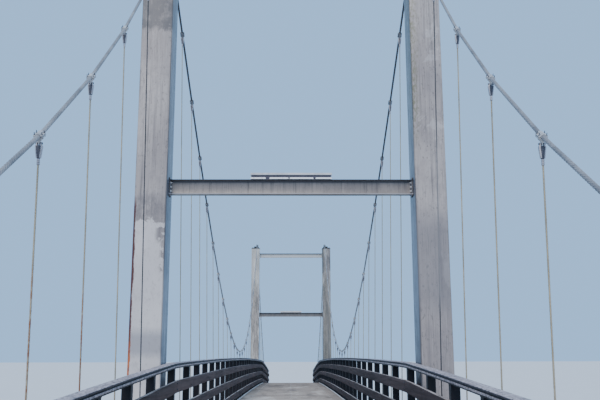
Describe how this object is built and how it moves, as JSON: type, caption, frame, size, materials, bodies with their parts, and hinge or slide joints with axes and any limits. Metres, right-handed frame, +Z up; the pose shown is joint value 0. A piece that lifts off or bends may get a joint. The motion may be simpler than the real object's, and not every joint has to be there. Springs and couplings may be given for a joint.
{
  "type": "suspension footbridge, half-size model",
  "caption": "Suspension footbridge with steel portal towers, rope cables and hangers, and an arched timber deck between boarded railings.",
  "frame": {"origin": "centre of the bridge in plan, on the level of the footings' undersides", "axes": "+X to the right of a person who walks from the near end, +Y along the bridge to the far end, +Z up"},
  "size_m": [2.106, 24.9506, 4.43],
  "materials": {
    "tower_paint": "silver-grey paint, weathered, with darker mottling and a rust streak",
    "dark_steel": "blue-black paint, half matt",
    "rail_paint": "pale lavender-grey, weathered",
    "wire_rope": "galvanised stranded wire rope, dulled",
    "fitting_steel": "galvanised and darkened clamps, sockets and bolts",
    "saddle_iron": "black cast saddle",
    "deck_timber": "weathered grey planks",
    "board_timber": "weathered brown-grey boards with paler top edges",
    "concrete": "plain weathered concrete",
    "panel_paint": "white paint"
  },
  "bodies": {
    "root": {"near_left_plinth": "concrete", "near_left_tower_leg": "tower_paint", "near_left_saddle": "saddle_iron", "near_left_side_cable": "wire_rope", "near_right_plinth": "concrete", "near_right_tower_leg": "tower_paint", "near_right_saddle": "saddle_iron", "near_right_side_cable": "wire_rope", "near_lower_crossbeam": "tower_paint", "near_upper_crossbeam": "tower_paint", "near_deck_beam": "tower_paint", "near_beam_panel": "panel_paint", "near_abutment": "concrete", "far_left_plinth": "concrete", "far_left_tower_leg": "tower_paint", "far_left_saddle": "saddle_iron", "far_left_side_cable": "wire_rope", "far_right_plinth": "concrete", "far_right_tower_leg": "tower_paint", "far_right_saddle": "saddle_iron", "far_right_side_cable": "wire_rope", "far_lower_crossbeam": "tower_paint", "far_upper_crossbeam": "tower_paint", "far_deck_beam": "tower_paint", "far_beam_panel": "panel_paint", "far_abutment": "concrete", "near_deck": "deck_timber", "near_floor_frame": "dark_steel", "near_left_railing": "dark_steel", "near_right_railing": "dark_steel", "main_deck": "deck_timber", "main_floor_frame": "dark_steel", "main_left_railing": "dark_steel", "main_right_railing": "dark_steel", "far_deck": "deck_timber", "far_floor_frame": "dark_steel", "far_left_railing": "dark_steel", "far_right_railing": "dark_steel", "left_main_cable": "wire_rope", "left_top_board": "board_timber", "left_middle_board": "board_timber", "left_lower_board": "board_timber", "right_main_cable": "wire_rope", "right_top_board": "board_timber", "right_middle_board": "board_timber", "right_lower_board": "board_timber"}
  },
  "joints": []
}
